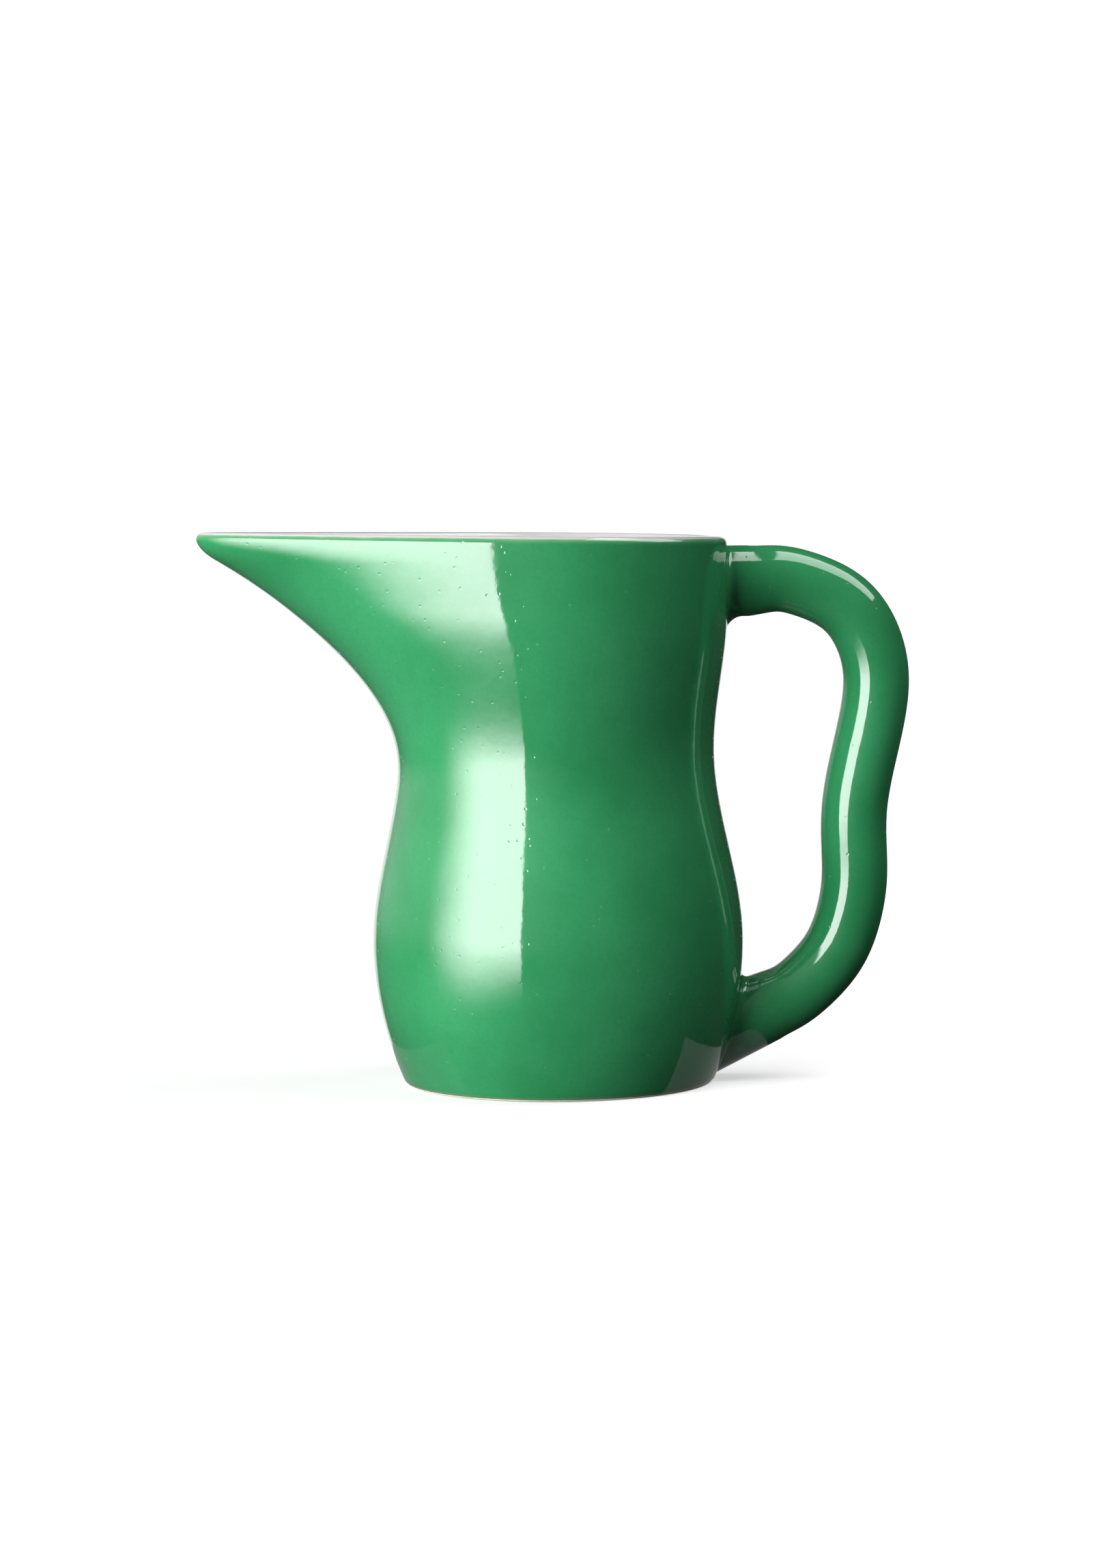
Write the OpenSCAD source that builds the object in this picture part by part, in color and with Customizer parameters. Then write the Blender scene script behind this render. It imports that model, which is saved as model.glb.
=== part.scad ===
// Slip-cast ceramic pitcher with a drawn-out spout and a wavy loop handle.
// Origin: centre of the foot, on the surface that the pitcher stands on. The spout points to -X,
// the handle to +X, and +Z is up. Millimetres.

/* [Overall] */
// Height of the rim above the foot, at the body's axis
height = 155; // [140:1:190]
// Reach of the spout's tip from the body's axis
spout_reach = 100.6; // [75:0.1:125]

/* [Body] */
// Radius of the wall where it meets the foot
foot_r = 43.6; // [35:0.1:50]
// Radius of the belly, the widest ring of the lower body
belly_r = 52.5; // [44:0.1:62]
// Height of the belly
belly_z = 40.5; // [30:0.5:50]
// Radius of the waist, the narrowest ring
waist_r = 44.7; // [36:0.1:52]
// Height of the waist
waist_z = 94; // [85:1:105]
// Radius of the rim on the handle's side
rim_r = 48.7; // [40:0.1:58]
// Height at which the wall has reached the rim's radius
shoulder_z = 134; // [118:1:138]
// Thickness of the finished wall, glaze included
wall = 4.4; // [3.6:0.1:5.3]
// Thickness of the clay floor over the foot's recess
floor_t = 5; // [4:0.1:7]

/* [Spout] */
// Height at which the spout starts to leave the round wall
spout_z = 85; // [70:1:95]
// How late the spout sweeps out: a higher power keeps it close to the wall for longer
spout_curve = 2.32; // [1.6:0.01:2.8]
// How far the sides of the spout are pinched in, where 1 carries the wall's curve on into them
spout_pinch = 0.6; // [0.4:0.05:1]
// Height of the rounded nose under the spout's tip
nose_h = 8; // [4:0.5:10]
// Share of the sweep that the rounded nose takes off
nose_cut = 0.16; // [0:0.01:0.2]
// Angle by which the rim rises towards the spout
rim_tilt = 1; // [0:0.1:1.5]

/* [Foot] */
// Radius of the rounded outer edge of the foot
foot_edge = 1.2; // [0.8:0.1:2]
// Width of the ring that the pitcher stands on
foot_ring_w = 5; // [3.5:0.5:8]
// Depth of the recess inside the foot ring
recess = 1.8; // [1.2:0.1:3]

/* [Handle] */
// Diameter of the glazed handle
handle_d = 18.8; // [15:0.1:21]
// Thickness of the handle's hollow clay wall
handle_wall = 3.4; // [2.5:0.1:4.5]
// Reach of the handle's widest bend, at its centre line, from the body's axis
handle_reach = 91.5; // [84:0.5:105]
// Reach of the hand grip under that bend, at its centre line
grip_reach = 84.5; // [80:0.5:98]
// Height of wall left clear between the upper joint's slip and the rim
rim_gap = 2.8; // [2.8:0.1:9]
// Height of wall left clear between the ground and the lower joint's slip
ground_gap = 0.8; // [0.8:0.1:6]
// Angle at which the handle rises from the lower joint
lower_angle = 26.5; // [20:0.5:32]
// How much the handle's radius grows towards both joints
flare = 0.7; // [0:0.1:0.7]
// Length over which it grows
flare_l = 12; // [8:1:20]
// Width of the slip fillet on top of the upper joint
upper_fillet_top = 1.2; // [0.8:0.1:1.5]
// Width of the slip fillet under the upper joint, where a finger rests
upper_fillet_under = 5; // [2:0.5:6]
// Width of the slip fillet in the crook over the lower joint
lower_fillet_crook = 4; // [2:0.5:5]
// Width of the slip fillet under the lower joint
lower_fillet_under = 0.6; // [0.5:0.1:0.6]

/* [Glaze] */
// Thickness of every glaze coat
glaze = 0.4; // [0.3:0.05:0.6]
// Angle round the rounded lip at which the green coat ends and the white one starts
lip_break = 45; // [22.5:22.5:67.5]

/* [Hidden] */

// Points round the body, round the handle and round the foot ring's inner edge
body_n = 44;
tube_n = 20;
recess_n = 96;
// Steps of the handle's curve between two of its stations
handle_steps = 3;
// Half the wall, which is the radius of the rounded lip
lip_r = wall / 2;
lip_z = height - lip_r;
// Height of the inside floor, and the radius of the inside corner over it
inside_z = recess + floor_t;
inside_corner = 9;
// Gap between the base glaze and the foot ring
base_gap = 0.8;
// Half the height over which a slant is measured
tiny = 0.25;

// --- The wall's profile -----------------------------------------------------------------------

function ease(t) = let (c = min(1, max(0, t))) c * c * (3 - 2 * c);

// Radius of the round wall at height z
function round_r(z) =
    z < belly_z ? belly_r - (belly_r - foot_r) * pow((belly_z - z) / belly_z, 2) :
    z < waist_z ? belly_r + (waist_r - belly_r) * ease((z - belly_z) / (waist_z - belly_z)) :
    waist_r + (rim_r - waist_r) * ease((z - waist_z) / (shoulder_z - waist_z));

// Sweep of the spout at height z, as a share of its sweep at the top
function sweep(z) =
    z <= spout_z ? 0 :
    pow((z - spout_z) / (height - spout_z), spout_curve)
    - nose_cut * pow(max(0, z - height + nose_h) / nose_h, 2);

// Reach of the wall on the spout's side at height z
function reach(z) = round_r(z) + (spout_reach - rim_r) * sweep(z) / sweep(lip_z);

// Slant of both: how much longer a slanted wall is than it is tall
function slant_r(z) = norm([1, (round_r(z + tiny) - round_r(z - tiny)) / (2 * tiny)]);
function slant_l(z) = norm([1, (reach(z + tiny) - reach(z - tiny)) / (2 * tiny)]);

// A ring is [radius, reach, height]. This one lies a depth d under the finished surface.
function wall_ring(z, d) = [round_r(z) - d * slant_r(z), reach(z) - d * slant_l(z), z];

// A ring of the rounded lip, at an angle a from the outside, a depth d under its surface
function lip_ring(a, d) =
    [round_r(lip_z) - lip_r + (lip_r - d) * cos(a),
     reach(lip_z) - lip_r + (lip_r - d) * cos(a),
     lip_z + (lip_r - d) * sin(a)];

function plain_ring(r, z) = [r, r, z];

// Share of the rim's tilt that reaches height z
function tilt_share(z) = ease((z - waist_z) / (height - waist_z));

// Points of a ring: a circle towards the handle, drawn out to a rounded tip towards the spout
function ring_points(ring) =
    let (r = ring[0], l = ring[1], z = ring[2])
    let (pinch = spout_pinch * (pow(l / r, 2) - 1) / 2)
    [for (i = [0 : body_n - 1])
        let (a = 360 * i / body_n, c = cos(a))
        let (x = c > 0 ? -l * c : -r * c)
        let (y = c > 0 ? r * sin(a) / (1 + pinch * c * c) : r * sin(a))
        [x, y, z - x * tan(rim_tilt) * tilt_share(z)]];

// --- Solids from rings ------------------------------------------------------------------------

function flat(lists) = [for (list = lists) for (item = list) item];

function reversed(list) = [for (i = [len(list) - 1 : -1 : 0]) list[i]];

// Triangles between ring j and ring k of n points each. A coat's rings run the other way over the
// surface that it shares with the clay, so its squares are split along the other diagonal.
function band(j, k, n, coat) =
    flat([for (i = [0 : n - 1])
        let (m = (i + 1) % n)
        coat ? [[j * n + i, j * n + m, k * n + i], [j * n + m, k * n + m, k * n + i]]
             : [[j * n + i, k * n + m, k * n + i], [j * n + i, j * n + m, k * n + m]]]);

// A closed loop of rings, such as a coat or a tube with an annular end
module ring_loop(rings, coat = false) {
    n = len(rings[0]);
    m = len(rings);
    polyhedron(points = flat(rings),
        faces = flat([for (j = [0 : m - 1]) band(j, (j + 1) % m, n, coat)]));
}

// A run of rings closed by a point at each end
module ring_cup(rings, first, last) {
    n = len(rings[0]);
    m = len(rings);
    points = concat(flat(rings), [first, last]);
    start = [for (i = [0 : n - 1]) [m * n, (i + 1) % n, i]];
    end = [for (i = [0 : n - 1]) [m * n + 1, (m - 1) * n + i, (m - 1) * n + (i + 1) % n]];
    polyhedron(points = points,
        faces = concat(start, flat([for (j = [0 : m - 2]) band(j, j + 1, n, false)]), end));
}

// A coat that lines a cup: its first rings run down to one floor and the others up from another
module coat_with_floor(rings, split, first_z, second_z) {
    n = len(rings[0]);
    m = len(rings);
    points = concat(flat(rings), [[0, 0, first_z], [0, 0, second_z]]);
    first_floor = [for (i = [0 : n - 1]) [m * n, (split - 1) * n + i, (split - 1) * n + (i + 1) % n]];
    second_floor = [for (i = [0 : n - 1]) [m * n + 1, split * n + (i + 1) % n, split * n + i]];
    bands = flat([for (j = [0 : m - 1]) if (j != split - 1) band(j, (j + 1) % m, n, true)]);
    polyhedron(points = points, faces = concat(bands, first_floor, second_floor));
}

// --- Levels -----------------------------------------------------------------------------------

// Heights of the wall's rings, drawn together towards the foot and the lip
wall_steps = 20;
draw = 0.045;
wall_levels = [for (i = [1 : wall_steps - 1])
    let (s = i / wall_steps)
    foot_edge + (lip_z - foot_edge) * (s + draw * sin(360 * s))];
nose_levels = [lip_z - 0.6 * nose_h, lip_z - 0.25 * nose_h];
outer_levels = concat([foot_edge], [for (z = wall_levels) if (z < lip_z - 0.8 * nose_h) z],
    nose_levels, [lip_z]);
inner_levels = [for (z = outer_levels) if (z > inside_z + inside_corner) z];

lip_step = 22.5;
lip_angles = [for (a = [lip_step : lip_step : 180 - lip_step]) a];

// Rings of the foot's rounded edge in clay, from the ground up
foot_top = wall_ring(foot_edge, glaze);
function foot_ring(a) =
    plain_ring(foot_top[0] - foot_edge * (1 - sin(a)), foot_edge * (1 - cos(a)));
foot_angles = [0, 30, 60];

// Radius of the clay at height z, the foot's rounded edge included
function clay_r(z) =
    z > foot_edge ? wall_ring(z, glaze)[0] :
    foot_top[0] - foot_edge + sqrt(foot_edge * foot_edge - pow(foot_edge - max(0, z), 2));

// Rings down the inside corner and onto the floor, a depth d under the finished inside
corner_z = inside_z + inside_corner;
function corner_ring(a, d) =
    let (wall_in = round_r(corner_z) - wall)
    plain_ring(wall_in - inside_corner + (inside_corner + d) * cos(a),
        corner_z - (inside_corner + d) * sin(a));
corner_angles = [0, 18, 36, 54, 72, 90];

// --- Body -------------------------------------------------------------------------------------

foot_out = foot_ring(0)[0];
foot_in = foot_out - foot_ring_w;

// The clay body: foot ring, recess, outside, rounded lip, inside and floor
module body_casting() {
    outside = [for (z = outer_levels) wall_ring(z, glaze)];
    lip = [for (a = lip_angles) lip_ring(a, glaze)];
    inner = [for (z = reversed(inner_levels)) wall_ring(z, wall - glaze)];
    corner = [for (a = corner_angles) corner_ring(a, glaze)];
    rings = concat([for (a = foot_angles) foot_ring(a)], outside, lip, inner, corner);
    color("white")
    difference() {
        ring_cup([for (ring = rings) ring_points(ring)], [0, 0, 0], [0, 0, inside_z - glaze]);
        translate([0, 0, -1]) cylinder(r = foot_in, h = recess + 1, $fn = recess_n);
    }
}

// A solid with the wall's surface at a depth d, from the foot to the lip
module wall_core(d) {
    outside = [for (z = outer_levels) wall_ring(z, d)];
    lip = [for (a = lip_angles) if (a <= 45) lip_ring(a, d)];
    top = lip[len(lip) - 1][2];
    rings = concat([for (a = foot_angles) foot_ring(a)], outside, lip);
    ring_cup([for (ring = rings) ring_points(ring)], [0, 0, 0], [0, 0, top]);
}

// --- Handle -----------------------------------------------------------------------------------

tube_r = handle_d / 2 - glaze;
end_r = tube_r + flare;
bore_r = tube_r - handle_wall;

// Heights of both joints at their centres, so that each clears its end of the wall
upper_z = height - rim_gap - upper_fillet_top - end_r;
function joint_height(z, steps = 8) =
    steps == 0 ? z :
    let (inset = round_r(z) - clay_r(ground_gap))
    joint_height(ground_gap + (end_r + lower_fillet_under) / cos(lower_angle)
        + inset * tan(lower_angle), steps - 1);
lower_z = joint_height(handle_d);
span = upper_z - lower_z;

// Both joints in the XZ plane: the point on the wall, and the direction in which the handle leaves
upper_foot = [round_r(upper_z), upper_z];
lower_foot = [round_r(lower_z), lower_z];
lower_way = [cos(lower_angle), sin(lower_angle)];
lower_bend = lower_foot + (grip_reach - 16 - lower_foot[0]) / lower_way[0] * lower_way;
upper_standoff = 6;
lower_standoff = 11;

// Stations of the handle's centre line, from the upper joint round to the lower one
stations = [
    upper_foot + [upper_standoff, 0],
    [rim_r + 0.436 * (handle_reach - rim_r), upper_z],
    [handle_reach - 7.3, upper_z - 8.5],
    [handle_reach, upper_z - 28],
    [grip_reach + 1.4, lower_z + 0.549 * span],
    [grip_reach, lower_z + 0.45 * span],
    [grip_reach, lower_z + 0.304 * span],
    [grip_reach - 5.1, lower_z + 0.171 * span],
    lower_bend,
    lower_foot + lower_standoff * lower_way];

// A smooth curve through the stations, the first and last of which lie on straight stretches
function station(i) =
    i < 0 ? 2 * stations[0] - stations[1] :
    i >= len(stations) ? 2 * stations[i - 1] - stations[i - 2] : stations[i];

function curve(i, t) =
    let (a = station(i - 1), b = station(i), c = station(i + 1), d = station(i + 2))
    0.5 * (2 * b + (c - a) * t + (2 * a - 5 * b + 4 * c - d) * t * t
        + (3 * b - a - 3 * c + d) * t * t * t);

centre_line = concat(
    [for (i = [0 : len(stations) - 2]) for (k = [0 : handle_steps - 1]) curve(i, k / handle_steps)],
    [stations[len(stations) - 1]]);
last = len(centre_line) - 1;

function heading(i) =
    i == 0 ? [1, 0] :
    i == last ? -lower_way :
    let (ahead = centre_line[i + 1] - centre_line[i - 1]) ahead / norm(ahead);

// Points of a round section of radius r at centre c, across heading h
function section(c, h, r) = [for (k = [0 : tube_n - 1])
    let (a = 360 * k / tube_n)
    [c[0] - h[1] * r * cos(a), r * sin(a), c[1] + h[0] * r * cos(a)]];

// How much the handle's radius has grown at point i of the centre line
function growth(i) =
    let (along = min(norm(centre_line[i] - centre_line[0]), norm(centre_line[i] - centre_line[last])))
    flare * pow(max(0, 1 - along / flare_l), 2);

function tube_rings(r) = [for (i = [0 : last]) section(centre_line[i], heading(i), r + growth(i))];

// Distance from point p to the clay wall along direction d, found by stepping onto the wall
function run(p, d, s = 0, steps = 8) =
    steps == 0 ? s :
    let (q = p + s * d)
    let (r = clay_r(q[2]))
    run(p, d, (sqrt(r * r - q[1] * q[1]) - p[0]) / d[0], steps - 1);

// A joint is [centre, heading along the line, way to the wall, outer fillet, fillet in the loop]
upper_joint = [centre_line[0], heading(0), -1, upper_fillet_top, upper_fillet_under];
lower_joint = [centre_line[last], heading(last), 1, lower_fillet_under, lower_fillet_crook];

// The fillet's ring at angle a, from 0 on the handle to 90 on the wall, under a coat of thickness g
function fillet_ring(joint, a, g = 0) = [for (k = [0 : tube_n - 1])
    let (turn = 360 * k / tube_n, h = joint[1])
    let (f = (joint[3] + joint[4]) / 2 + (joint[3] - joint[4]) / 2 * cos(turn))
    let (r = end_r + f - (f - g) * cos(a))
    let (p = [joint[0][0] - h[1] * r * cos(turn), r * sin(turn), joint[0][1] + h[0] * r * cos(turn)])
    let (d = joint[2] * [h[0], 0, h[1]])
    p + (run(p, d) - f + (f - g) * sin(a)) * d];

// A ring of radius r, or wider by the fillet where f_share is 1, run onto the wall and then carried
// straight in by a depth
function joint_ring(joint, r, f_share, depth) = [for (k = [0 : tube_n - 1])
    let (turn = 360 * k / tube_n, h = joint[1])
    let (f = (joint[3] + joint[4]) / 2 + (joint[3] - joint[4]) / 2 * cos(turn))
    let (w = r + f_share * f)
    let (p = [joint[0][0] - h[1] * w * cos(turn), w * sin(turn), joint[0][1] + h[0] * w * cos(turn)])
    let (d = joint[2] * [h[0], 0, h[1]])
    p + run(p, d) * d - [depth, 0, 0]];

fillet_angles = [0, 30, 60, 90];
sink = 1.5;
plug_depth = 3;

// The hollow clay handle, its two ends cut to the wall
module handle_casting() {
    bore_end_r = end_r - handle_wall;
    color("mediumseagreen")
    difference() {
        ring_loop(concat(
            [for (depth = [sink, 0]) joint_ring(upper_joint, end_r, 0, depth)],
            tube_rings(tube_r),
            [for (depth = [0, sink]) joint_ring(lower_joint, end_r, 0, depth)],
            [joint_ring(lower_joint, bore_end_r, 0, sink)],
            reversed(tube_rings(bore_r)),
            [joint_ring(upper_joint, bore_end_r, 0, sink)]));
        wall_core(glaze);
    }
}

// The slip that lutes one end of the handle to the wall
module joint_slip(joint, flip) {
    fillets = [for (a = fillet_angles) fillet_ring(joint, a)];
    rings = concat(fillets,
        [joint_ring(joint, end_r, 1, sink), joint_ring(joint, end_r, 0, sink),
         joint_ring(joint, end_r, 0, 0)]);
    difference() {
        ring_loop(flip ? reversed(rings) : rings);
        wall_core(glaze);
    }
}

module upper_joint_slip() {
    color("darkolivegreen") joint_slip(upper_joint, true);
}

module lower_joint_slip() {
    color("olivedrab") joint_slip(lower_joint, false);
}

// --- Glaze ------------------------------------------------------------------------------------

// The solid that a joint takes out of the body's coat
module joint_plug(joint, flip) {
    out = joint_ring(joint, end_r, 1, -plug_depth);
    in = joint_ring(joint, end_r, 1, plug_depth);
    rings = flip ? [in, out] : [out, in];
    middle = function (ring) [for (j = [0 : 2]) [for (p = ring) p[j]] * [for (p = ring) 1 / tube_n]];
    ring_cup(rings, middle(rings[0]), middle(rings[1]));
}

// Green coat on the outside of the body, from just above the foot to the turn of the lip
module body_glaze() {
    lip_in = [for (a = lip_angles) if (a <= lip_break) lip_ring(a, glaze)];
    lip_out = [for (a = lip_angles) if (a <= lip_break) lip_ring(a, 0)];
    under = concat([foot_ring(60)], [for (z = outer_levels) wall_ring(z, glaze)], lip_in);
    over = concat([for (z = outer_levels) wall_ring(z, 0)], lip_out);
    color("seagreen")
    difference() {
        ring_loop([for (ring = concat(reversed(under), over)) ring_points(ring)], coat = true);
        joint_plug(upper_joint, true);
        joint_plug(lower_joint, false);
    }
}

// Green coat on the handle and over both fillets
module handle_glaze() {
    color("forestgreen")
    ring_loop(concat(
        [for (a = reversed(fillet_angles)) fillet_ring(upper_joint, a, glaze)],
        tube_rings(tube_r + glaze),
        [for (a = fillet_angles) fillet_ring(lower_joint, a, glaze)],
        [for (a = reversed(fillet_angles)) fillet_ring(lower_joint, a)],
        reversed(tube_rings(tube_r)),
        [for (a = fillet_angles) fillet_ring(upper_joint, a)]), coat = true);
}

// White coat over the lip and down the inside
module liner_glaze() {
    lip_over = [for (a = lip_angles) if (a >= lip_break) lip_ring(a, 0)];
    over = concat(lip_over,
        [for (z = reversed(inner_levels)) wall_ring(z, wall)],
        [for (a = corner_angles) corner_ring(a, 0)]);
    under = concat([for (a = reversed(corner_angles)) corner_ring(a, glaze)],
        [for (z = inner_levels) wall_ring(z, wall - glaze)],
        [for (a = reversed(lip_angles)) if (a >= lip_break) lip_ring(a, glaze)]);
    rings = [for (ring = concat(over, under)) ring_points(ring)];
    color("ivory") coat_with_floor(rings, len(over), inside_z, inside_z - glaze);
}

// Clear coat in the recess inside the foot ring
module base_glaze() {
    color("gainsboro")
    translate([0, 0, recess - glaze]) cylinder(r = foot_in - base_gap, h = glaze, $fn = recess_n);
}

body_casting();
handle_casting();
upper_joint_slip();
lower_joint_slip();
body_glaze();
handle_glaze();
liner_glaze();
base_glaze();
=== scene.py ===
"""Looks of the ceramic pitcher: smooth glazed surfaces over the CAD frame, studio light and camera.

The wall and the handle follow the same formulas as the part's own source, in millimetres, with many
more points. The spout points to -X and the handle to +X.
"""

import math

import bmesh
import bpy
import numpy as np
from mathutils import Euler, Matrix, Vector


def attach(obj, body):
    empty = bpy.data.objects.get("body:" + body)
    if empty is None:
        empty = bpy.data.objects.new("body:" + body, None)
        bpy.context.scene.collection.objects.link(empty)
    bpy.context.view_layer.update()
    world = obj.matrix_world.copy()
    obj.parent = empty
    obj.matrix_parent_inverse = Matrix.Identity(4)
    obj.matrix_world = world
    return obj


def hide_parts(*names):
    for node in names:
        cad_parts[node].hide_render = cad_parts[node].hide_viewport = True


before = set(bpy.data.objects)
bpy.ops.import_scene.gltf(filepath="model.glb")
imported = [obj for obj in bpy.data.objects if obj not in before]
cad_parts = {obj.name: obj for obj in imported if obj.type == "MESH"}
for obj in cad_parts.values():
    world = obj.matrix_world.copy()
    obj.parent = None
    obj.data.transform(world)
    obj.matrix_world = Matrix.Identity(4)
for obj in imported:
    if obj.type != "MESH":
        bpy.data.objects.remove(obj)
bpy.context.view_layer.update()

MM = 0.001

# --- Sizes of the pitcher, in millimetres, as in the part's source ------------------------------

HEIGHT = 155
SPOUT_REACH = 100.6

FOOT_R = 43.6
BELLY_R, BELLY_Z = 52.5, 40.5
WAIST_R, WAIST_Z = 44.7, 94
RIM_R, SHOULDER_Z = 48.7, 134
WALL = 4.4
FLOOR_T = 5

SPOUT_Z = 85
SPOUT_CURVE = 2.32
SPOUT_PINCH = 0.6
NOSE_H = 8
NOSE_CUT = 0.16
RIM_TILT = math.radians(1)

FOOT_EDGE = 1.2
FOOT_RING_W = 5
RECESS = 1.8
INSIDE_CORNER = 9

HANDLE_R = 18.8 / 2
HANDLE_REACH = 91.5
GRIP_REACH = 84.5
RIM_GAP = 2.8
GROUND_GAP = 0.8
LOWER_ANGLE = math.radians(26.5)
FLARE, FLARE_L = 0.7, 12
UPPER_FILLETS = (1.2, 5)
LOWER_FILLETS = (0.6, 4)

GLAZE = 0.4
LIP_BREAK = 45

LIP_R = WALL / 2
LIP_Z = HEIGHT - LIP_R
INSIDE_Z = RECESS + FLOOR_T
TUBE_R = HANDLE_R - GLAZE
END_R = TUBE_R + FLARE

# Points round the body and round the handle, and levels of the wall below the nose and along it
BODY_N = 256
TUBE_N = 96
WALL_STEPS = 110
NOSE_STEPS = 22

# Points of the handle's line between two stations, and how often the line is smoothed
HANDLE_STEPS = 14
SMOOTHINGS = 12

# Degrees between two rings of the lip or of the inside corner
ROUND_STEP = 7.5

# Half the height over which the wall's slant is measured, and rounds of a search that closes in
SLANT_STEP = 0.25
SEARCH_ROUNDS = 10


# --- The wall ------------------------------------------------------------------------------------

def ease(t):
    c = min(1, max(0, t))
    return c * c * (3 - 2 * c)


def round_r(z):
    """Radius of the round wall at height z."""
    if z < BELLY_Z:
        return BELLY_R - (BELLY_R - FOOT_R) * ((BELLY_Z - z) / BELLY_Z) ** 2
    if z < WAIST_Z:
        return BELLY_R + (WAIST_R - BELLY_R) * ease((z - BELLY_Z) / (WAIST_Z - BELLY_Z))
    return WAIST_R + (RIM_R - WAIST_R) * ease((z - WAIST_Z) / (SHOULDER_Z - WAIST_Z))


def sweep(z):
    """Sweep of the spout at height z, as a share of its sweep at the top."""
    if z <= SPOUT_Z:
        return 0
    rise = ((z - SPOUT_Z) / (HEIGHT - SPOUT_Z)) ** SPOUT_CURVE
    return rise - NOSE_CUT * (max(0, z - HEIGHT + NOSE_H) / NOSE_H) ** 2


def reach(z):
    """Reach of the wall on the spout's side at height z."""
    return round_r(z) + (SPOUT_REACH - RIM_R) * sweep(z) / sweep(LIP_Z)


def slant(profile, z):
    """How much longer the wall is than it is tall at height z."""
    return math.hypot(1, (profile(z + SLANT_STEP) - profile(z - SLANT_STEP)) / (2 * SLANT_STEP))


def wall_ring(z, depth):
    """Radius, reach and height of the wall's ring at height z, at a depth under the finished surface."""
    return (round_r(z) - depth * slant(round_r, z), reach(z) - depth * slant(reach, z), z)


def lip_ring(angle, depth):
    """A ring of the rounded lip, at an angle in degrees from the outside."""
    a = math.radians(angle)
    across = (LIP_R - depth) * math.cos(a) - LIP_R
    return (round_r(LIP_Z) + across, reach(LIP_Z) + across, LIP_Z + (LIP_R - depth) * math.sin(a))


def foot_ring(angle):
    """A ring of the foot's rounded edge in clay, from 0 on the ground to 90 on the wall."""
    a = math.radians(angle)
    r = wall_ring(FOOT_EDGE, GLAZE)[0] - FOOT_EDGE * (1 - math.sin(a))
    return (r, r, FOOT_EDGE * (1 - math.cos(a)))


def clay_r(z):
    """Radius of the clay at height z, the foot's rounded edge included."""
    if z > FOOT_EDGE:
        return wall_ring(z, GLAZE)[0]
    top = wall_ring(FOOT_EDGE, GLAZE)[0]
    return top - FOOT_EDGE + math.sqrt(FOOT_EDGE ** 2 - (FOOT_EDGE - max(0, z)) ** 2)


def corner_ring(angle, depth):
    """A ring of the inside corner, from 0 on the wall to 90 on the floor."""
    a = math.radians(angle)
    z = INSIDE_Z + INSIDE_CORNER
    r = round_r(z) - WALL - INSIDE_CORNER + (INSIDE_CORNER + depth) * math.cos(a)
    return (r, r, z - (INSIDE_CORNER + depth) * math.sin(a))


def flat_ring(r, z):
    return (r, r, z)


def ring_points(ring):
    """Points of a ring: a circle towards the handle, drawn out to a rounded tip towards the spout."""
    r, l, z = ring
    pinch = SPOUT_PINCH * ((l / r) ** 2 - 1) / 2
    a = 2 * np.pi * np.arange(BODY_N) / BODY_N
    c, s = np.cos(a), np.sin(a)
    x = np.where(c > 0, -l * c, -r * c)
    y = np.where(c > 0, r * s / (1 + pinch * c * c), r * s)
    tilt = math.tan(RIM_TILT) * ease((z - WAIST_Z) / (HEIGHT - WAIST_Z))
    return np.stack([x, y, z - x * tilt], axis=1)


NOSE_Z = LIP_Z - NOSE_H
CORNER_GAP = 0.5
WALL_LEVELS = [*np.linspace(FOOT_EDGE, NOSE_Z, WALL_STEPS), *np.linspace(NOSE_Z, LIP_Z, NOSE_STEPS)[1:]]
INNER_LEVELS = [z for z in WALL_LEVELS if z > INSIDE_Z + INSIDE_CORNER + CORNER_GAP]
LIP_ANGLES = list(np.arange(ROUND_STEP, 180, ROUND_STEP))
CORNER_ANGLES = list(np.arange(0, 90 + ROUND_STEP, ROUND_STEP))


# --- The handle ----------------------------------------------------------------------------------

def vec(x, z):
    return np.array([x, z], float)


def lower_joint_height():
    """Height of the lower joint at its centre, searched for so that its slip clears the ground."""
    z = 2 * HANDLE_R
    for _ in range(SEARCH_ROUNDS):
        inset = round_r(z) - clay_r(GROUND_GAP)
        z = (GROUND_GAP + (END_R + LOWER_FILLETS[0]) / math.cos(LOWER_ANGLE)
             + inset * math.tan(LOWER_ANGLE))
    return z


UPPER_Z = HEIGHT - RIM_GAP - UPPER_FILLETS[0] - END_R
LOWER_Z = lower_joint_height()
SPAN = UPPER_Z - LOWER_Z
LOWER_FOOT = vec(round_r(LOWER_Z), LOWER_Z)
LOWER_WAY = vec(math.cos(LOWER_ANGLE), math.sin(LOWER_ANGLE))
UPPER_STANDOFF = 6
LOWER_STANDOFF = 11

# The level arm's end, as a share of the handle's reach past the rim
ARM_SHARE = 0.436

# The shoulder's inset from the handle's reach, and drops from the arm to it and to the furthest point
SHOULDER_INSET, SHOULDER_DROP = 7.3, 8.5
FURTHEST_DROP = 28

# The grip's lean at its top, and the insets of the turn and of the bend that follow under it
GRIP_LEAN = 1.4
TURN_INSET = 5.1
BEND_INSET = 16

# Heights of the grip's three stations and of the turn, as shares of the span between the joints
GRIP_TOP, GRIP_MIDDLE, GRIP_END, TURN_SHARE = 0.549, 0.45, 0.304, 0.171

LOWER_BEND = LOWER_FOOT + (GRIP_REACH - BEND_INSET - LOWER_FOOT[0]) / LOWER_WAY[0] * LOWER_WAY

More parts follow.
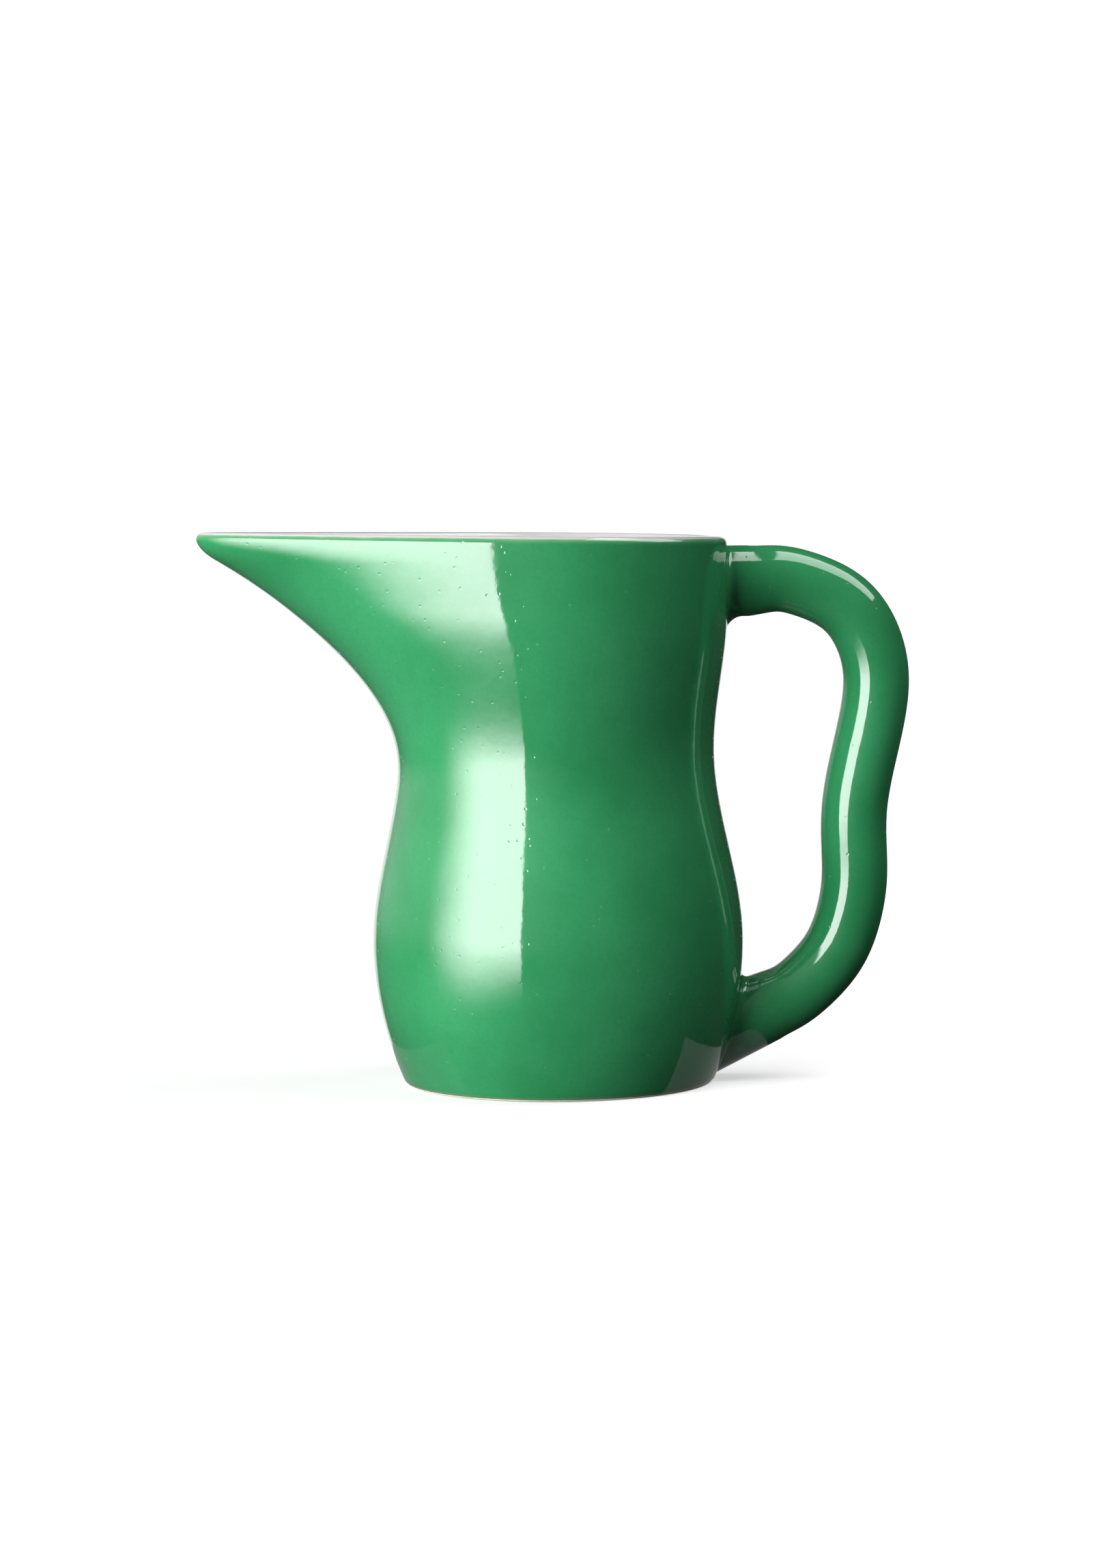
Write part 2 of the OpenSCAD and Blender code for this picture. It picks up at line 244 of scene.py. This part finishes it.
STATIONS = [
    vec(round_r(UPPER_Z) + UPPER_STANDOFF, UPPER_Z),
    vec(RIM_R + ARM_SHARE * (HANDLE_REACH - RIM_R), UPPER_Z),
    vec(HANDLE_REACH - SHOULDER_INSET, UPPER_Z - SHOULDER_DROP),
    vec(HANDLE_REACH, UPPER_Z - FURTHEST_DROP),
    vec(GRIP_REACH + GRIP_LEAN, LOWER_Z + GRIP_TOP * SPAN),
    vec(GRIP_REACH, LOWER_Z + GRIP_MIDDLE * SPAN),
    vec(GRIP_REACH, LOWER_Z + GRIP_END * SPAN),
    vec(GRIP_REACH - TURN_INSET, LOWER_Z + TURN_SHARE * SPAN),
    LOWER_BEND,
    LOWER_FOOT + LOWER_STANDOFF * LOWER_WAY,
]


def centre_line():
    """A smooth curve close to the handle's stations, which it follows from one to the next."""
    ends = [2 * STATIONS[0] - STATIONS[1], *STATIONS, 2 * STATIONS[-1] - STATIONS[-2]]
    line = []
    for a, b, c, d in zip(ends, ends[1:], ends[2:], ends[3:]):
        for t in np.arange(HANDLE_STEPS) / HANDLE_STEPS:
            line.append(0.5 * (2 * b + (c - a) * t + (2 * a - 5 * b + 4 * c - d) * t * t
                               + (3 * b - a - 3 * c + d) * t ** 3))
    line = np.array(line + [STATIONS[-1]])
    for _ in range(SMOOTHINGS):
        line[1:-1] += (line[2:] - 2 * line[1:-1] + line[:-2]) / 4
    return line


LINE = centre_line()
TURN = 2 * np.pi * np.arange(TUBE_N) / TUBE_N


def heading(i):
    """Direction of the centre line at its point i. Its two ends run as the joints do."""
    if i == 0:
        return vec(1, 0)
    if i == len(LINE) - 1:
        return -LOWER_WAY
    ahead = LINE[i + 1] - LINE[i - 1]
    return ahead / np.linalg.norm(ahead)


def section(centre, way, r):
    """Points of a round section of radius r, which may differ round the section, across a way."""
    up = r * np.cos(TURN)
    return np.stack([centre[0] - way[1] * up, r * np.sin(TURN), centre[1] + way[0] * up], axis=1)


def onto_wall(points, way):
    """How far each point has to go along the way to meet the clay wall."""
    run = np.zeros(len(points))
    for _ in range(SEARCH_ROUNDS):
        q = points + run[:, None] * way
        r = np.array([clay_r(z) for z in q[:, 2]])
        run = (np.sqrt(r * r - q[:, 1] ** 2) - points[:, 0]) / way[0]
    return run


def fillet_ring(end, angle, coat):
    """A ring of the slip fillet at one end, from 0 on the handle to 90 on the wall, under a coat."""
    i, sign, fillets = (0, -1, UPPER_FILLETS) if end == "upper" else (len(LINE) - 1, 1, LOWER_FILLETS)
    way = heading(i)
    width = (fillets[0] + fillets[1]) / 2 + (fillets[0] - fillets[1]) / 2 * np.cos(TURN)
    a = math.radians(angle)
    r = END_R + width - (width - coat) * math.cos(a)
    points = section(LINE[i], way, r)
    to_wall = sign * np.array([way[0], 0, way[1]])
    run = onto_wall(points, to_wall) - width + (width - coat) * math.sin(a)
    return points + run[:, None] * to_wall


def flare(i):
    """How much thicker the handle is than along its middle, at a point of its centre line."""
    along = min(np.linalg.norm(LINE[i] - LINE[0]), np.linalg.norm(LINE[i] - LINE[-1]))
    return FLARE * max(0, 1 - along / FLARE_L) ** 2


def tube_rings(r):
    return [section(LINE[i], heading(i), np.full(TUBE_N, r + flare(i))) for i in range(len(LINE))]


# --- Meshes from rings ---------------------------------------------------------------------------

SHARP = math.radians(38)


def ring_mesh(name, rings, node, material, poles=(), values=None):
    """A closed smooth piece from rings of points in millimetres: a loop, or a run between two poles."""
    n, m = len(rings[0]), len(rings)
    points = np.concatenate([*rings, np.array(poles, float)]) if poles else np.concatenate(rings)
    faces = []
    for i in range(n):
        h = (i + 1) % n
        for j in range(m - 1 if poles else m):
            k = (j + 1) % m
            faces.append((j * n + i, j * n + h, k * n + h, k * n + i))
        if poles:
            faces.append((m * n, h, i))
            faces.append((m * n + 1, (m - 1) * n + i, (m - 1) * n + h))
    mesh = bpy.data.meshes.new(name)
    mesh.from_pydata((points * MM).tolist(), [], faces)
    if values is not None:
        layer = mesh.attributes.new("near_joint", "FLOAT", "POINT")
        layer.data.foreach_set("value", np.asarray(values, np.float32))
    shade(mesh)
    mesh.materials.append(material)
    piece = bpy.data.objects.new(name, mesh)
    bpy.context.scene.collection.objects.link(piece)
    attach(piece, "root")
    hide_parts(node)


def shade(mesh):
    """Turns the faces outwards, and shades them smooth with sharp creases kept."""
    bm = bmesh.new()
    bm.from_mesh(mesh)
    bmesh.ops.recalc_face_normals(bm, faces=bm.faces)
    for face in bm.faces:
        face.smooth = True
    for edge in bm.edges:
        edge.smooth = edge.calc_face_angle(0) < SHARP
    bm.to_mesh(mesh)
    bm.free()


# --- Materials -----------------------------------------------------------------------------------

# Places of the colours among a Mix node's inputs, and of the mixed colour among its outputs
MIX_COLOUR_A, MIX_COLOUR_B, MIX_RESULT = 6, 7, 2


class Nodes:
    """A small helper that adds nodes to the tree of a material or of the world."""

    def __init__(self, owner, main="Principled BSDF"):
        owner.use_nodes = True
        self.owner = owner
        self.tree = owner.node_tree
        self.main = self.tree.nodes[main]

    def add(self, kind, **values):
        node = self.tree.nodes.new(kind)
        for key, value in values.items():
            if hasattr(node, key):
                setattr(node, key, value)
            else:
                node.inputs[key.replace("_", " ")].default_value = value
        return node

    def give(self, **values):
        """Sets inputs of the node that gives the look."""
        for key, value in values.items():
            self.main.inputs[key.replace("_", " ")].default_value = value

    def link(self, source, target):
        self.tree.links.new(source, target)

    def place(self):
        """Coordinates in metres, in the object's own frame, which all the pitcher's pieces share."""
        return self.add("ShaderNodeTexCoord").outputs["Object"]

    def axes(self, place):
        """The X, Y and Z of a place or a direction, by name."""
        node = self.add("ShaderNodeSeparateXYZ")
        self.link(place, node.inputs[0])
        return node.outputs

    def height_at_rim(self):
        """Height in metres, less what the rim rises towards the spout."""
        xyz = self.axes(self.place())
        return self.math("ADD", xyz["Z"], self.math("MULTIPLY", xyz["X"], math.tan(RIM_TILT)))

    def noise(self, scale, detail=2.0, roughness=0.5):
        node = self.add("ShaderNodeTexNoise", Scale=scale, Detail=detail, Roughness=roughness)
        self.link(self.place(), node.inputs["Vector"])
        return node.outputs["Fac"]

    def math(self, operation, a, b):
        node = self.add("ShaderNodeMath", operation=operation)
        for socket, value in zip(node.inputs, (a, b)):
            if isinstance(value, (int, float)):
                socket.default_value = value
            else:
                self.link(value, socket)
        return node.outputs[0]

    def span(self, value, low, high, to_low=0.0, to_high=1.0, smooth=False):
        """Maps a value's range low..high to another range, clamped."""
        node = self.add("ShaderNodeMapRange", interpolation_type="SMOOTHSTEP" if smooth else "LINEAR")
        self.link(value, node.inputs["Value"])
        for key, number in (("From Min", low), ("From Max", high),
                            ("To Min", to_low), ("To Max", to_high)):
            node.inputs[key].default_value = number
        return node.outputs["Result"]

    def mix(self, share, a, b):
        """Colour a where share is 0, colour b where it is 1."""
        node = self.add("ShaderNodeMix", data_type="RGBA")
        self.link(share, node.inputs["Factor"])
        for socket, value in ((node.inputs[MIX_COLOUR_A], a), (node.inputs[MIX_COLOUR_B], b)):
            if isinstance(value, tuple):
                socket.default_value = (*value, 1)
            else:
                self.link(value, socket)
        return node.outputs[MIX_RESULT]

    def tint(self, share, strength, colour, tinted):
        """Colour that turns to a tinted one where share is 1, up to a strength."""
        return self.mix(self.math("MULTIPLY", share, strength), colour, tinted)

    def bump(self, *layers):
        """Adds up height layers, each (height in metres, socket)."""
        normal = None
        for height, socket in layers:
            node = self.add("ShaderNodeBump", Strength=1.0, Distance=height)
            self.link(socket, node.inputs["Height"])
            if normal:
                self.link(normal, node.inputs["Normal"])
            normal = node.outputs["Normal"]
        self.link(normal, self.main.inputs["Normal"])


def new_material(name):
    return Nodes(bpy.data.materials.new(name))


def speckle(nodes, scale, core, edge):
    """Scattered round specks: 1 within the core's radius, and 0 past the edge's."""
    cells = nodes.add("ShaderNodeTexVoronoi", Scale=scale)
    nodes.link(nodes.place(), cells.inputs["Vector"])
    return nodes.span(cells.outputs["Distance"], core, edge, 1.0, 0.0, smooth=True)


def green_glaze(name, on_body):
    """Glossy green glaze that breaks paler over the lip and the foot, or pools darker in the joints."""
    deep, mid, pale = (0.007, 0.134, 0.043), (0.020, 0.190, 0.066), (0.030, 0.232, 0.088)
    speck_green, lip_green, foot_green = (0.10, 0.32, 0.13), (0.15, 0.33, 0.16), (0.16, 0.30, 0.16)
    lip_white, joint_olive = (0.42, 0.43, 0.39), (0.035, 0.075, 0.02)
    n = new_material(name)
    broad = n.span(n.noise(28, detail=3), 0.35, 0.65)
    colour = n.mix(broad, mid, pale)
    fine = n.span(n.noise(900, detail=2), 0.40, 0.70)
    colour = n.tint(fine, 0.14, colour, deep)
    specks = speckle(n, 330, core=0.05, edge=0.16)
    rare = n.span(n.noise(170, detail=1), 0.56, 0.66)
    colour = n.tint(n.math("MULTIPLY", specks, rare), 0.55, colour, speck_green)
    if on_body:
        wander = n.span(n.noise(90, detail=2), 0.3, 0.7, -0.0002, 0.0002)
        below = n.math("SUBTRACT", HEIGHT * MM, n.math("ADD", n.height_at_rim(), wander))
        warm = n.span(below, 0.0004, 0.0022, 1.0, 0.0, smooth=True)
        colour = n.tint(warm, 0.6, colour, lip_green)
        white = n.span(below, 0.0003, 0.0011, 1.0, 0.0, smooth=True)
        colour = n.mix(white, colour, lip_white)
        foot = n.span(n.axes(n.place())["Z"], 0.0007, 0.0016, 1.0, 0.0, smooth=True)
        colour = n.tint(foot, 0.6, colour, foot_green)
    else:
        near = n.add("ShaderNodeAttribute", attribute_name="near_joint").outputs["Fac"]
        colour = n.tint(near, 0.7, colour, joint_olive)
    n.link(colour, n.main.inputs["Base Color"])
    n.link(n.span(n.noise(60, detail=3), 0.3, 0.7, 0.045, 0.085), n.main.inputs["Roughness"])
    n.give(IOR=1.54)
    n.bump((0.00022, n.noise(38, detail=2)), (0.000018, n.noise(420, detail=2)), (-0.00003, specks))
    return n.owner


def white_glaze(name):
    """Glossy white glaze with a little warmth and a few iron specks; on the lip it is thinner, with
    painted shade that turns its top grey.
    """
    warm_white, cool_white = (0.60, 0.60, 0.575), (0.66, 0.665, 0.645)
    lip_shade_grey, iron_brown = (0.45, 0.45, 0.44), (0.45, 0.36, 0.25)
    n = new_material(name)
    broad = n.span(n.noise(24, detail=3), 0.35, 0.65)
    colour = n.mix(broad, warm_white, cool_white)
    # Painted shade: the liner turns grey over the top of the lip, where the glaze is also thinner.
    lip = n.span(n.height_at_rim(), (HEIGHT - 2) * MM, (HEIGHT - 1) * MM, smooth=True)
    colour = n.mix(lip, colour, lip_shade_grey)
    specks = speckle(n, 120, core=0.03, edge=0.07)
    rare = n.span(n.noise(90, detail=1), 0.60, 0.64)
    colour = n.tint(n.math("MULTIPLY", specks, rare), 0.5, colour, iron_brown)
    n.link(colour, n.main.inputs["Base Color"])
    n.link(n.span(n.noise(70, detail=3), 0.3, 0.7, 0.06, 0.11), n.main.inputs["Roughness"])
    n.give(IOR=1.52)
    n.bump((0.0002, n.noise(34, detail=2)), (0.000015, n.noise(480, detail=2)))
    return n.owner


def bare_clay(name, light, dark):
    """Fired clay without glaze: fine grain, slight stains, and small pits."""
    darkest = tuple(0.7 * c for c in dark)
    n = new_material(name)
    colour = n.mix(n.span(n.noise(110, detail=4, roughness=0.6), 0.3, 0.7), dark, light)
    grain = n.noise(2600, detail=3, roughness=0.7)
    colour = n.mix(n.span(grain, 0.55, 0.8, 0.0, 0.5), colour, darkest)
    n.link(colour, n.main.inputs["Base Color"])
    n.link(n.span(grain, 0.3, 0.7, 0.68, 0.86), n.main.inputs["Roughness"])
    n.bump((0.00006, grain), (0.0001, speckle(n, 700, core=0.1, edge=0.3)))
    return n.owner


GREEN = green_glaze("green_glaze_body", on_body=True)
GREEN_HANDLE = green_glaze("green_glaze_handle", on_body=False)
WHITE = white_glaze("white_glaze")
CLAY = bare_clay("bare_clay", light=(0.78, 0.71, 0.60), dark=(0.66, 0.58, 0.46))
SLIP = bare_clay("joint_slip", light=(0.40, 0.42, 0.24), dark=(0.30, 0.31, 0.16))


# --- Pieces --------------------------------------------------------------------------------------

# Radius of the smallest ring round a pole, and the step from a corner to the floor's first ring
POLE_R = 3
LINER_POLE_R = 1
FLOOR_EDGE = 3

# Rings across the recess, the bare foot and the inside floor
RECESS_RINGS = 12
FOOT_RINGS = 5
FLOOR_RINGS = 10

# Rounding of the recess's rim, in and out of its corner, and of the bare ring's inner edge
RECESS_CORNER = 0.5
RECESS_ROUND = 0.15
RING_ROUND = 0.4

# Where the green coat's lower edge thins out: its height in the foot's rounding, and its depth
COAT_EDGE_SHARE = 0.72
COAT_EDGE_DEPTH = 0.35 * GLAZE


def clay_body():
    """The clay body: foot ring, recess, and the clay behind both glazes."""
    foot_out = foot_ring(0)[0]
    foot_in = foot_out - FOOT_RING_W
    under = [flat_ring(r, RECESS) for r in np.linspace(POLE_R, foot_in - RECESS_CORNER, RECESS_RINGS)]
    under += [flat_ring(foot_in - RECESS_ROUND, RECESS - RECESS_ROUND),
              flat_ring(foot_in, RECESS - RECESS_CORNER),
              flat_ring(foot_in, RING_ROUND), flat_ring(foot_in + RING_ROUND, 0)]
    under += [flat_ring(r, 0) for r in np.linspace(foot_in + 1, foot_out, FOOT_RINGS)]
    edge = [foot_ring(a) for a in (15, 30, 45, 60, 75)]
    outside = [wall_ring(z, GLAZE) for z in WALL_LEVELS]
    lip = [lip_ring(a, GLAZE) for a in LIP_ANGLES]
    inside = [wall_ring(z, WALL - GLAZE) for z in reversed(INNER_LEVELS)]
    corner = [corner_ring(a, GLAZE) for a in CORNER_ANGLES]
    floor = [flat_ring(r, INSIDE_Z - GLAZE)
             for r in np.linspace(corner[-1][0] - FLOOR_EDGE, POLE_R, FLOOR_RINGS)]
    rings = [ring_points(r) for r in under + edge + outside + lip + inside + corner + floor]
    poles = [(0, 0, RECESS), (0, 0, INSIDE_Z - GLAZE)]
    ring_mesh("clay_body", rings, "body_casting", CLAY, poles=poles)


def body_coat():
    """The green coat outside, from its thin edge over the foot to the turn of the lip."""
    turn = [a for a in LIP_ANGLES if a <= LIP_BREAK]
    over = [wall_ring(FOOT_EDGE * COAT_EDGE_SHARE, COAT_EDGE_DEPTH)]
    over += [wall_ring(z, 0) for z in WALL_LEVELS] + [lip_ring(a, 0) for a in turn]
    under = [foot_ring(60), foot_ring(75)]
    under += [wall_ring(z, GLAZE) for z in WALL_LEVELS] + [lip_ring(a, GLAZE) for a in turn]
    rings = [ring_points(r) for r in over + under[::-1]]
    ring_mesh("body_coat", rings, "body_glaze", GREEN)


def liner_coat():
    """The white coat over the lip, down the inside and across the floor."""
    def layer(depth):
        rings = [lip_ring(a, depth) for a in LIP_ANGLES if a >= LIP_BREAK]
        rings += [wall_ring(z, WALL - depth) for z in reversed(INNER_LEVELS)]
        rings += [corner_ring(a, depth) for a in CORNER_ANGLES]
        across = np.linspace(rings[-1][0] - FLOOR_EDGE, LINER_POLE_R, FLOOR_RINGS)
        return rings + [flat_ring(r, INSIDE_Z - depth) for r in across]
    rings = [ring_points(r) for r in layer(0) + layer(GLAZE)[::-1]]
    ring_mesh("liner_coat", rings, "liner_glaze", WHITE)


def handle_coat():
    """The green coat on the handle, swept out over the slip where it meets the wall."""
    angles = range(0, 91, 10)

    def layer(r, coat):
        upper = [fillet_ring("upper", a, coat) for a in reversed(angles)]
        lower = [fillet_ring("lower", a, coat) for a in angles]
        return upper + tube_rings(r) + lower

    rings = layer(HANDLE_R, GLAZE) + layer(TUBE_R, 0)[::-1]
    near = [(a / 90) ** 3 for a in angles]
    along = near[::-1] + [0] * len(LINE) + near
    values = np.repeat(along + along[::-1], TUBE_N)
    ring_mesh("handle_coat", rings, "handle_glaze", GREEN_HANDLE, values=values)


clay_body()
body_coat()
liner_coat()
handle_coat()

for node, material in (("handle_casting", CLAY), ("upper_joint_slip", SLIP),
                       ("lower_joint_slip", SLIP), ("base_glaze", WHITE)):
    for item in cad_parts[node].material_slots:
        item.material = material


# --- Studio --------------------------------------------------------------------------------------

def rectangle(name, low, high, z, material):
    """A flat stage piece between two corners, at height z in its own frame."""
    (x0, y0), (x1, y1) = low, high
    mesh = bpy.data.meshes.new(name)
    mesh.from_pydata([(x0, y0, z), (x1, y0, z), (x1, y1, z), (x0, y1, z)], [], [(0, 1, 2, 3)])
    mesh.materials.append(material)
    sheet = bpy.data.objects.new(name, mesh)
    bpy.context.scene.collection.objects.link(sheet)
    return sheet


def studio_floor():
    """A plain white floor that glows a little, as an overlit studio table does."""
    half = 12
    beside, away = 0.16, 0.5
    glow_beside, glow_away = 0.56, 1.0
    n = new_material("studio_floor")
    n.give(Base_Color=(0.5, 0.5, 0.5, 1), Roughness=0.9, Emission_Color=(1, 1, 1, 1))
    distance = n.add("ShaderNodeVectorMath", operation="LENGTH")
    n.link(n.place(), distance.inputs[0])
    n.link(n.span(distance.outputs["Value"], beside, away, glow_beside, glow_away, smooth=True),
           n.main.inputs["Emission Strength"])
    floor = rectangle("studio_floor", (-half, -half), (half, half), 0, n.owner)
    floor.visible_glossy = False
    floor.visible_diffuse = False


def table_glow():
    """The lit tabletop beside and behind the pitcher, as the glaze reflects it."""
    half, front, rear, just_under = 0.066, -0.035, 0.05, -0.0002
    n = new_material("table_glow")
    n.give(Base_Color=(0, 0, 0, 1), Emission_Color=(1, 1, 1, 1), Emission_Strength=0.28)
    glow = rectangle("table_glow", (-half, front), (half, rear), just_under, n.owner)
    glow.visible_camera = False
    glow.visible_diffuse = False
    glow.visible_shadow = False


def studio_world():
    """A white backdrop, a pale room on the left, and a dark one on the right. Each ramp goes by one
    part of the direction that is looked in, and the room on the left dims below the table's level."""
    dark, white, pale, dimmed = 0.03, 1.1, 0.7, 0.15
    world = bpy.data.worlds.new("studio")
    bpy.context.scene.world = world
    n = Nodes(world, "Background")
    way = n.axes(n.add("ShaderNodeTexCoord").outputs["Generated"])
    backdrop = n.span(way["Y"], 0.93, 0.957, dark, white, smooth=True)
    left = n.span(way["X"], -0.7, 0.2, pale, 0.0, smooth=True)
    above_table = n.span(way["Z"], -0.15, 0.05, dimmed, 1.0, smooth=True)
    n.link(n.math("ADD", backdrop, n.math("MULTIPLY", left, above_table)), n.main.inputs["Strength"])
    n.give(Color=(1, 1, 1, 1))


def softbox(name, azimuth, elevation, distance, width, height, radiance, fades, aim):
    """A glowing panel that faces the point aim, seen from it at an azimuth and an elevation in degrees.
    Azimuth 0 is the front, and a negative one is left. The panel fades out over shares of its size:
    at its far side from the front, its near side, its bottom and its top."""
    falloff = 1.5
    n = new_material(name)
    place = n.axes(n.place())
    far, near, bottom, top = fades
    x, y = width / 2, height / 2
    across = n.math("MULTIPLY",
                    n.span(place["X"], x - far * width, x, 1.0, 0.0, smooth=True),
                    n.span(place["X"], -x, near * width - x, smooth=True))
    upright = n.math("MULTIPLY",
                     n.span(place["Y"], -y, bottom * height - y, smooth=True),
                     n.span(place["Y"], y - top * height, y, 1.0, 0.0, smooth=True))
    share = n.math("POWER", n.math("MULTIPLY", across, upright), falloff)
    glow = n.add("ShaderNodeEmission")
    n.link(n.math("MULTIPLY", share, radiance), glow.inputs["Strength"])
    both = n.add("ShaderNodeAddShader")
    n.link(glow.outputs[0], both.inputs[0])
    n.link(n.add("ShaderNodeBsdfTransparent").outputs[0], both.inputs[1])
    n.link(both.outputs[0], n.tree.nodes["Material Output"].inputs["Surface"])
    a, e = math.radians(azimuth), math.radians(elevation)
    way = Vector((math.sin(a) * math.cos(e), -math.cos(a) * math.cos(e), math.sin(e)))
    panel = rectangle(name, (-x, -y), (x, y), 0, n.owner)
    panel.location = Vector(aim) + way * distance
    panel.rotation_mode = "QUATERNION"
    panel.rotation_quaternion = (-way).to_track_quat("Z", "Y")
    panel.visible_camera = False
    panel.visible_shadow = False


def studio_lights():
    """A tall key softbox at the left, with a crisp near side, and a softer one overhead."""
    softbox("key_softbox", azimuth=-62, elevation=0, distance=1.5, width=2.18, height=1.70,
            radiance=13.5, fades=(0.6, 0.012, 0.5, 0.1), aim=(0, 0, 0.09))
    softbox("top_softbox", azimuth=0, elevation=89, distance=1.05, width=1.5, height=0.84,
            radiance=6, fades=(0.02, 0.02, 0.05, 0.05), aim=(0.98, 0, 0.14))


def camera():
    """The camera, at the height and angle of the photograph."""
    azimuth, pitch = math.radians(-4), math.radians(4.12)
    roll = math.radians(-0.59)
    distance, height, aside = 1.222, 0.1725, 0.00075
    data = bpy.data.cameras.new("camera")
    data.lens = 99.45
    data.sensor_width = 36
    data.clip_start, data.clip_end = 0.05, 60
    view = bpy.data.objects.new("camera", data)
    bpy.context.scene.collection.objects.link(view)
    back = Vector((math.sin(azimuth), -math.cos(azimuth), 0))
    right = Vector((math.cos(azimuth), math.sin(azimuth), 0))
    view.location = back * distance - right * aside + Vector((0, 0, height))
    upright = Euler((math.pi / 2 - pitch, 0, azimuth)).to_matrix()
    view.rotation_euler = (upright @ Matrix.Rotation(roll, 3, "Z")).to_euler()
    bpy.context.scene.camera = view


studio_floor()
table_glow()
studio_world()
studio_lights()
camera()
bpy.context.scene.view_settings.view_transform = "Standard"
